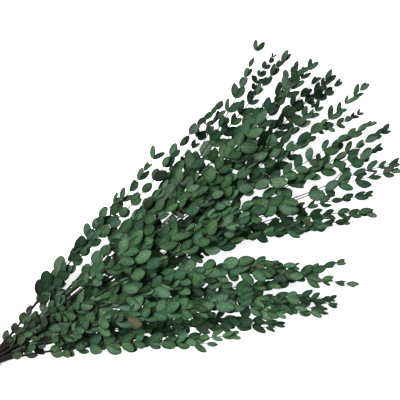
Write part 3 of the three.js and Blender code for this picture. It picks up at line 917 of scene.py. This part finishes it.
def leaf_form(name, arch, fold):
    """A closed blade that is one long and one wide. Its points and faces carry what the finish reads."""
    points, along_values, aside_values, top_values = [], [], [], []

    def point(along, across, side):
        """Adds a point on the upper (1) or lower (-1) face, or on the rim (0), and returns its number."""
        thick = side * LEAF_THICKNESS / 2 * (1 - across**2)
        points.append((along, across * half_width(along), blade_height(along, across, arch, fold) + thick))
        along_values.append(along)
        aside_values.append(across)
        top_values.append(max(side, 0))
        return len(points) - 1

    foot, tip = point(0, 0, 0), point(1, 0, 0)
    upper, lower = [], []
    for along in STATIONS[1:-1]:
        left, right = point(along, -1, 0), point(along, 1, 0)
        upper.append([left, *(point(along, across, 1) for across in COLUMNS[1:-1]), right])
        lower.append([left, *(point(along, across, -1) for across in COLUMNS[1:-1]), right])
    faces, undersides = [], []
    for rows, below in ((upper, False), (lower, True)):
        sheet = [(foot, *pair) for pair in zip(rows[0], rows[0][1:])]
        for row, onward in zip(rows, rows[1:]):
            sheet += [(row[c], onward[c], onward[c + 1], row[c + 1]) for c in range(len(COLUMNS) - 1)]
        sheet += [(tip, *pair) for pair in zip(rows[-1][1:], rows[-1])]
        faces += [face[::-1] for face in sheet] if below else sheet
        undersides += [below] * len(sheet)
    mesh = bpy.data.meshes.new(name)
    mesh.from_pydata(points, [], faces, shade_flat=False)
    for label, values in (("along", along_values), ("aside", aside_values), ("top", top_values)):
        mesh.attributes.new(label, "FLOAT", "POINT").data.foreach_set("value", values)
    mesh.attributes.new("underside", "FLOAT", "FACE").data.foreach_set("value", undersides)
    rim = {foot, tip, *(row[c] for row in upper for c in (0, -1))}
    for mesh_edge in mesh.edges:
        mesh_edge.use_edge_sharp = rim.issuperset(mesh_edge.vertices)
    return mesh


leaf_forms = bpy.data.collections.new("leaf_forms")
for i, (arch, fold) in enumerate((arch, fold) for arch in ARCHES for fold in FOLDS):
    form = bpy.data.objects.new(f"leaf_form_{i}", leaf_form(f"leaf_form_{i}", arch, fold))
    leaf_forms.objects.link(form)

# %% [markdown]
# ## The foliage tree
#
# The tree puts a leaf on each point of a mesh that carries only places. Each point brings the turn,
# the size and the form of its leaf as attributes. The instances are then made real, because the
# export drops instances, and what would reach under the table is pressed flat on it.

# %% Geometry Nodes for the foliage
tree, given = new_tree("leaves on their points", {
    "Leaf forms": "NodeSocketCollection", "Table height": "NodeSocketFloat",
    "Blade thickness": "NodeSocketFloat", "Leaf material": "NodeSocketMaterial"})
forms = add(tree, "GeometryNodeCollectionInfo",
            {"Collection": given["Leaf forms"], "Separate Children": True, "Reset Children": True})
instances = add(tree, "GeometryNodeInstanceOnPoints", {
    "Points": given["Geometry"], "Instance": forms.outputs[0], "Pick Instance": True,
    "Instance Index": on_points(tree, "form", "INT"), "Rotation": on_points(tree, "turn", "QUATERNION"),
    "Scale": on_points(tree, "size", "FLOAT_VECTOR")})
real = add(tree, "GeometryNodeRealizeInstances", {0: instances.outputs[0]})
top = on_points(tree, "top", "FLOAT")
lowest = calculate(tree, "MULTIPLY_ADD", top, given["Blade thickness"], given["Table height"])
where = add(tree, "ShaderNodeSeparateXYZ", {0: add(tree, "GeometryNodeInputPosition").outputs[0]})
height = calculate(tree, "MAXIMUM", where.outputs["Z"], lowest)
pressed = add(tree, "ShaderNodeCombineXYZ", {
    "X": where.outputs["X"], "Y": where.outputs["Y"], "Z": height})
flat = add(tree, "GeometryNodeSetPosition", {"Geometry": real.outputs[0], "Position": pressed.outputs[0]})
finished = add(tree, "GeometryNodeSetMaterial", {"Geometry": flat.outputs[0],
                                                 "Material": given["Leaf material"]})
add(tree, "NodeGroupOutput", {0: finished.outputs[0]})
foliage_tree = tree
print("foliage tree:", len(tree.nodes), "nodes")

# %% [markdown]
# ## The stem tree
#
# The routes go in as a mesh of edges with a radius at each point. The tree turns them into curves and
# runs a small ring along each, closed at both ends. The ends of the main stems were cut, so the cap
# faces behind the tie, which are the only faces with more than four corners there, get cut wood.

# %% Geometry Nodes for the stems
SIDE_CORNERS = 4  # of the faces along a stem

tree, given = new_tree("rings along the stems", {
    "Ring points": "NodeSocketInt", "Cut wood up to X": "NodeSocketFloat",
    "Bark material": "NodeSocketMaterial", "Wood material": "NodeSocketMaterial"})
curves = add(tree, "GeometryNodeMeshToCurve", {0: given["Geometry"]})
ring = add(tree, "GeometryNodeCurvePrimitiveCircle", {"Resolution": given["Ring points"], "Radius": 1.0})
tubes = add(tree, "GeometryNodeCurveToMesh", {
    "Curve": curves.outputs[0], "Profile Curve": ring.outputs[0], "Fill Caps": True,
    "Scale": on_points(tree, "thickness", "FLOAT")})
real = add(tree, "GeometryNodeRealizeInstances", {0: tubes.outputs[0]})
barked = add(tree, "GeometryNodeSetMaterial", {"Geometry": real.outputs[0],
                                               "Material": given["Bark material"]})
where = add(tree, "ShaderNodeSeparateXYZ", {0: add(tree, "GeometryNodeInputPosition").outputs[0]})
is_behind = add(tree, "FunctionNodeCompare", {0: where.outputs["X"], 1: given["Cut wood up to X"]},
                data_type="FLOAT", operation="LESS_THAN")
corners = add(tree, "GeometryNodeInputMeshFaceNeighbors")
is_cap = add(tree, "FunctionNodeCompare", {2: corners.outputs["Vertex Count"], 3: SIDE_CORNERS},
             data_type="INT", operation="GREATER_THAN")
is_cut = add(tree, "FunctionNodeBooleanMath", {0: is_behind.outputs[0], 1: is_cap.outputs[0]},
             operation="AND")
finished = add(tree, "GeometryNodeSetMaterial", {"Geometry": barked.outputs[0],
                                                 "Selection": is_cut.outputs[0],
                                                 "Material": given["Wood material"]})
add(tree, "NodeGroupOutput", {0: finished.outputs[0]})
stem_tree = tree
print("stem tree:", len(tree.nodes), "nodes")

# %% [markdown]
# ## Smooth stems with swellings
#
# The solids' stems are straight pieces. A real stem bends smoothly, so each route is rounded off with
# a Catmull-Rom curve, which passes through the same points, and the leaves move with it by the little
# that it bulges. In the tie the stems lie against each other. From there they taper quickly, and
# each pair of leaves sits on a small swelling.

# %% Smooth routes
RING_STEP = 9  # from ring to ring along a stem
STEM_BASE_RADIUS, STEM_TIP_RADIUS = 2.5, 0.5
TWIG_BASE_RADIUS, TWIG_TIP_RADIUS = 0.95, 0.4
SPRIG_BASE_RADIUS, SPRIG_TIP_RADIUS = 0.6, 0.35
TAPER_POWER = 0.45  # below 1: most of the taper comes near the foot


def rounded(route, step):
    """The point at a step of a Catmull-Rom curve through the route."""
    i = min(int(step), len(route) - 2)
    t = step - i
    a, b = route[i], route[i + 1]
    before = route[i - 1] if i > 0 else 2 * a - b
    after = route[i + 2] if i + 2 < len(route) else 2 * b - a
    return 0.5 * (2 * a + (b - before) * t + (2 * before - 5 * a + 4 * b - after) * t**2
                  + (3 * a - before - 3 * b + after) * t**3)


def wood_radius(stem, step):
    last = len(stem.route) - 1
    if stem.kind == "stem":
        return lerp(STEM_BASE_RADIUS, STEM_TIP_RADIUS, max(0, (step - 1) / (last - 1)) ** TAPER_POWER)
    if stem.kind == "twig":
        return lerp(TWIG_BASE_RADIUS, TWIG_TIP_RADIUS, step / last)
    return lerp(SPRIG_BASE_RADIUS, SPRIG_TIP_RADIUS, step / last)


widths = [round(2 * wood_radius(branches[0].stems[0], step), 1) for step in (0, 2, 4, 6)]
print("thickness of the first stem on its way:", widths, "mm")

# %% Rings along a stem
SWELLING, SWELLING_LENGTH = 1.45, 1.6  # times the stem's radius, and from its middle to its end
RINGS_APART = 1.5  # other rings nearer than this to its middle, in such lengths, are left out


def stem_rings(stem):
    """Points and radii along a stem: evenly spaced ones, and three round each pair of leaves."""
    rings = {}
    for i, (a, b) in enumerate(zip(stem.route, stem.route[1:])):
        count = max(1, round(np.linalg.norm(b - a) / RING_STEP))
        for k in range(count):
            rings[i + k / count] = 1
    rings[len(stem.route) - 1] = 1
    for step in (pair.root.step for pair in stem.pairs):
        i = min(int(step), len(stem.route) - 2)
        near = SWELLING_LENGTH / np.linalg.norm(stem.route[i + 1] - stem.route[i])
        rings = {s: r for s, r in rings.items() if abs(s - step) > RINGS_APART * near}
        rings.update({step - near: 1, step: SWELLING, step + near: 1})
    steps = sorted(s for s in rings if 0 <= s <= len(stem.route) - 1)
    return [rounded(stem.route, s) for s in steps], [wood_radius(stem, s) * rings[s] for s in steps]


def stem_mesh(branch):
    """The routes of a branch as one mesh of edges."""
    points, radii, edges = [], [], []
    for stem in branch.stems:
        at, around = stem_rings(stem)
        edges += [(len(points) + k, len(points) + k + 1) for k in range(len(at) - 1)]
        points += [in_frame(p) for p in at]
        radii += [r * MM for r in around]
    mesh = bpy.data.meshes.new("stem_routes")
    mesh.from_pydata(points, edges, [])
    mesh.attributes.new("thickness", "FLOAT", "POINT").data.foreach_set("value", radii)
    return mesh


print("rings along the first stem:", len(stem_rings(branches[0].stems[0])[0]))

# %% [markdown]
# ## Growing the branches
#
# Each branch becomes two pieces, because its wood and its foliage have different finishes: `stems_01`
# and `leaves_01` stand for the solid `branch_01`, and so on. Each leaf draws its own tint. Leaves near
# the foot of the bunch are the oldest, so they lean to olive.

# %% How dark the leaves are: dried tone and painted light and shade
OLD_FROM, OLD_UNTIL = 300, 60  # leaves start to turn olive at the first distance from the tie
OLD_DEPTH = 0.7
OLD_EVERYWHERE = 0.04  # share of the leaves that did so anywhere
LEAF_SHADES = (0.88, 1.24)  # some leaves dried darker than others
PAINTED_DARK_LEAF_SHADES = (0.25, 0.6)  # and some almost black: painted shade of leaves in shadow or seen edge on,
PAINTED_DARK_SHARE, SPRIG_PAINTED_DARK_SHARE = 0.07, 0.6  # mostly the small ones of the sprigs
FOOT_UNTIL, TIP_DARK_FROM, TIP_DARK_UNTIL = 200, 380, 620  # leaves at the foot and at the tips are darker
FOOT_SHADE, TIP_SHADE = 0.8, 0.74
DARKER_FROM_DEG, DARKEST_AT_DEG = 6, 23  # angles at the tip: painted shade is darkest on the stems at the upper edge
# painted light and shade by the angle at the tip: the lower group lighter, the upper edge darkest
PAINTED_SHADE_BY_ANGLE = (1.1, 0.68)


def place_shade(branch, distance):
    """How dark the leaves of a branch are at this distance from the tie, against the others."""
    # Painted light and shade: lighter in the lower group, darkest at the upper edge.
    shade = lerp(*PAINTED_SHADE_BY_ANGLE, smoothstep(branch.tip_deg, DARKER_FROM_DEG, DARKEST_AT_DEG))
    shade *= lerp(FOOT_SHADE, 1, smoothstep(distance, 0, FOOT_UNTIL))
    return shade * lerp(1, TIP_SHADE, smoothstep(distance, TIP_DARK_FROM, TIP_DARK_UNTIL))


def nearest(value, choices):
    return min(range(len(choices)), key=lambda i: abs(choices[i] - value))


edges = [choose(branches, key=lambda branch: branch.tip_deg) for choose in (min, max)]
print("shade at the lower and the upper edge:", [round(place_shade(edge, FOOT_UNTIL), 2) for edge in edges])

# %% Leaf places
def leaf_mesh(branch):
    """A point for each leaf of a branch, with what the foliage tree reads."""
    places, turns, sizes, forms, tints, ages, shades = [], [], [], [], [], [], []
    for stem in branch.stems:
        for leaf in stem.leaves:
            bulge = rounded(stem.route, leaf.root.step) - leaf.root.point
            axes = Matrix((leaf.pointing, np.cross(leaf.face, leaf.pointing), leaf.face)).transposed()
            distance = leaf.root.point[0]
            old = 1 - smoothstep(distance, OLD_UNTIL, OLD_FROM)
            draw = random_from(leaf.seed + TINT_SEED)
            places.append(in_frame(leaf.start + bulge))
            turns.append(axes.to_quaternion())
            sizes.append((leaf.length * MM, leaf.width * MM, leaf.length * MM))
            forms.append(len(FOLDS) * nearest(leaf.arch, ARCHES) + nearest(leaf.fold, FOLDS))
            tints.append(draw())
            ages.append(draw() * old * OLD_DEPTH if draw() > OLD_EVERYWHERE else draw())
            # Some leaves, mostly on the sprigs, get painted shade: almost black, as in shadow or seen edge
            # on.
            dark_share = SPRIG_PAINTED_DARK_SHARE if stem.kind == "sprig" else PAINTED_DARK_SHARE
            shade = between(draw, PAINTED_DARK_LEAF_SHADES if draw() < dark_share else LEAF_SHADES)
            shades.append(shade * place_shade(branch, distance))
    mesh = bpy.data.meshes.new("leaf_places")
    mesh.from_pydata(places, [], [])
    for label, kind, field, values in (
        ("turn", "QUATERNION", "value", turns), ("size", "FLOAT_VECTOR", "vector", sizes),
        ("form", "INT", "value", forms), ("tint", "FLOAT", "value", tints),
        ("age", "FLOAT", "value", ages), ("shade", "FLOAT", "value", shades),
    ):
        mesh.attributes.new(label, kind, "POINT").data.foreach_set(field, np.ravel(values))
    return mesh


print("leaves of the first branch:", sum(len(stem.leaves) for stem in branches[0].stems))

# %% Stems and leaves of every branch
RING_POINTS = 7
TABLE_GAP = 0.1 * MM  # so that pressed leaves don't lie in the very plane of the table
PRESSED_THICKNESS = 0.5 * MM

faces = 0
for i, branch in enumerate(branches):
    number = branch.name[-2:]
    stems = grow(f"stems_{number}", stem_tree, stem_mesh(branch), {
        "Ring points": RING_POINTS, "Cut wood up to X": float(ORIGIN[0] - STEM_BEHIND_TIE * MM / 2),
        "Bark material": bark_material, "Wood material": wood_material})
    leaves = grow(f"leaves_{number}", foliage_tree, leaf_mesh(branch), {
        "Leaf forms": leaf_forms, "Table height": TABLE_GAP, "Blade thickness": PRESSED_THICKNESS,
        "Leaf material": leaf_material})
    for piece, slot in ((stems, "stem_bark"), (leaves, "foliage")):
        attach(piece, "root")
        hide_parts(branch.name)
        faces += len(piece.data.polygons)
for form in list(leaf_forms.objects):
    bpy.data.objects.remove(form)
bpy.data.collections.remove(leaf_forms)
print("faces of all branches:", faces)

# %% [markdown]
# ## The tie
#
# Jute twine is spun from three yarns, and it winds five times round the stems. One long tube with a
# three-lobed section, twisted as it goes along a helix, shows the yarns. The lobes are a closed
# curve worked out by a formula, and the tree winds, twists and covers it.

# %% Jute twine
JUTE_LIGHT, JUTE_DARK = colour("#b89a68"), colour("#7d6038")
FIBRE_MM = 0.25  # jute fibres are so fine that an even noise can stand for them
JUTE_RELIEF, JUTE_RELIEF_MM = 0.8, 0.15

twine_material, tree, shader, place = new_material("jute twine", {"Roughness": 0.9})
fibres = noise(tree, place, FIBRE_MM, 4, noise_dimensions="4D")  # its slice at W = 0
spun = mix(tree, fibres, JUTE_LIGHT, JUTE_DARK)
# Painted shade in the grooves between the yarns: they take the dark jute colour.
twine_colour = mix(tree, carried(tree, "groove"), spun, JUTE_DARK)
tree.links.new(twine_colour, shader.inputs["Base Color"])
roughen(tree, shader, fibres, JUTE_RELIEF, JUTE_RELIEF_MM)
print("twine material:", len(tree.nodes), "nodes")

# %% Winding the twine
TWINE_TURNS = 5
WINDING_RADIUS = TIE_OUTER_RADIUS - TWINE / 2
YARN_TWISTS = 16  # full twists of the yarns in each turn round the stems
STEPS_PER_TURN = 120
YARNS, LOBE_POINTS = 3, 18
LOBE_DEPTH = 0.24  # of the groove between two yarns, of the radius


def winding_mesh():
    """The helix as a mesh of edges, with how far the yarns have turned at each point."""
    steps = TWINE_TURNS * STEPS_PER_TURN
    points, twists = [], []
    for k in range(steps + 1):
        turns = k / STEPS_PER_TURN
        x = TWINE * (turns - TWINE_TURNS / 2)
        angle = 2 * math.pi * turns
        y, z = WINDING_RADIUS * math.cos(angle), WINDING_RADIUS * math.sin(angle)
        points.append(in_frame((x, y, TIE_OUTER_RADIUS + z)))
        twists.append(2 * math.pi * YARN_TWISTS * turns)
    mesh = bpy.data.meshes.new("twine_winding")
    mesh.from_pydata(points, [(k, k + 1) for k in range(steps)], [])
    mesh.attributes.new("twist", "FLOAT", "POINT").data.foreach_set("value", twists)
    return mesh


def lobed_ring():
    """The section of three yarns side by side, with how deep in a groove each point lies."""
    points, grooves = [], []
    for k in range(LOBE_POINTS):
        angle = 2 * math.pi * k / LOBE_POINTS
        depth = (1 - math.cos(YARNS * angle)) / 2
        radius = TWINE / 2 * MM * (1 - LOBE_DEPTH * depth)
        points.append((radius * math.cos(angle), radius * math.sin(angle), 0))
        grooves.append(depth)
    mesh = bpy.data.meshes.new("yarn_section")
    mesh.from_pydata(points, [(k, (k + 1) % LOBE_POINTS) for k in range(LOBE_POINTS)], [])
    mesh.attributes.new("groove", "FLOAT", "POINT").data.foreach_set("value", grooves)
    return bpy.data.objects.new("yarn_section", mesh)


print("length of the twine:", round(2 * math.pi * WINDING_RADIUS * TWINE_TURNS), "mm")

# %% Twine
tree, given = new_tree("twisted twine", {
    "Section": "NodeSocketObject", "Twine material": "NodeSocketMaterial"})
helix = add(tree, "GeometryNodeMeshToCurve", {0: given["Geometry"]})
twisted = add(tree, "GeometryNodeSetCurveTilt", {
    "Curve": helix.outputs[0], "Tilt": on_points(tree, "twist", "FLOAT")})
section = add(tree, "GeometryNodeObjectInfo", {"Object": given["Section"]})
outline = add(tree, "GeometryNodeMeshToCurve", {0: section.outputs["Geometry"]})
wound = add(tree, "GeometryNodeCurveToMesh", {
    "Curve": twisted.outputs[0], "Profile Curve": outline.outputs[0], "Fill Caps": True})
real = add(tree, "GeometryNodeRealizeInstances", {0: wound.outputs[0]})
finished = add(tree, "GeometryNodeSetMaterial", {"Geometry": real.outputs[0],
                                                 "Material": given["Twine material"]})
add(tree, "NodeGroupOutput", {0: finished.outputs[0]})

yarn_section = lobed_ring()
twine = grow("twine", tree, winding_mesh(), {"Section": yarn_section, "Twine material": twine_material})
bpy.data.objects.remove(yarn_section)
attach(twine, "root")
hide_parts("binding_twine")
print("twine:", len(twine.data.polygons), "faces")

# %% [markdown]
# ## Table, light and air
#
# The bunch lies on a plain pale table under soft studio light. The table is a card that is lit from
# below as well, as for catalogue pictures, so it stays almost white and takes hardly any shadow. One
# large panel hangs above it, to the upper left of the picture, and a white surround fills the shadows
# a little. The standard view transform keeps the colours as they are, without a film look.

# %% Table
TABLE_SIZE = 40.0  # so large that its far edge only shows from very low down
CARD_GLOW = 0.84  # lit from below, so that hardly any shadow is left on it
CARD_PALE, CARD_DARK = colour("#b4b4b3"), colour("#acacab")
TOOTH_MM = 2.5  # of the surface of the card
WHITE = colour("#ffffff")

card_material, tree, shader, place = new_material(
    "lit white card", {"Roughness": 0.9, "Emission Color": WHITE, "Emission Strength": CARD_GLOW})
card_colour = mix(tree, noise(tree, place, TOOTH_MM, 2), CARD_PALE, CARD_DARK)
tree.links.new(card_colour, shader.inputs["Base Color"])
half = TABLE_SIZE / 2
table_mesh = bpy.data.meshes.new("table")
table_mesh.from_pydata([(-half, -half, 0), (half, -half, 0), (half, half, 0), (-half, half, 0)], [],
                       [(0, 1, 2, 3)])
table_mesh.materials.append(card_material)
table = bpy.data.objects.new("table", table_mesh)
scene.collection.objects.link(table)
table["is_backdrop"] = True
print("the table is", TABLE_SIZE, "m wide")

# %% Light
PANEL_SIZE = 0.9  # in metres, as its place is
PANEL_POWER = 122
PANEL_PLACE = Vector((-0.35, 0.75, 1.9))  # towards the upper left of the picture
SURROUND = 0.17

panel = bpy.data.objects.new("light_panel", bpy.data.lights.new("light_panel", "AREA"))
panel.data.size, panel.data.energy = PANEL_SIZE, PANEL_POWER
panel.location = PANEL_PLACE
panel.rotation_euler = (-PANEL_PLACE).to_track_quat("-Z", "Y").to_euler()
scene.collection.objects.link(panel)
world = bpy.data.worlds.new("white surround")
world.use_nodes = True
surround = world.node_tree.nodes["Background"].inputs
surround["Color"].default_value = WHITE
surround["Strength"].default_value = SURROUND
scene.world = world
scene.view_settings.view_transform = "Standard"
print("panel of", PANEL_POWER, "W at", [round(v, 2) for v in panel.location])

# %% [markdown]
# ## Sizes, and the end
#
# The visual model has to stay in the box of the solids, but for a few millimetres.

# %% Sizes
visual_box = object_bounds()
boxes = {"cad": [list(corner) for corner in cad_box], "visual": [list(corner) for corner in visual_box]}
for name, (low, high) in boxes.items():
    print(name, "size in mm:", [round((b - a) * 1000, 1) for a, b in zip(low, high)])
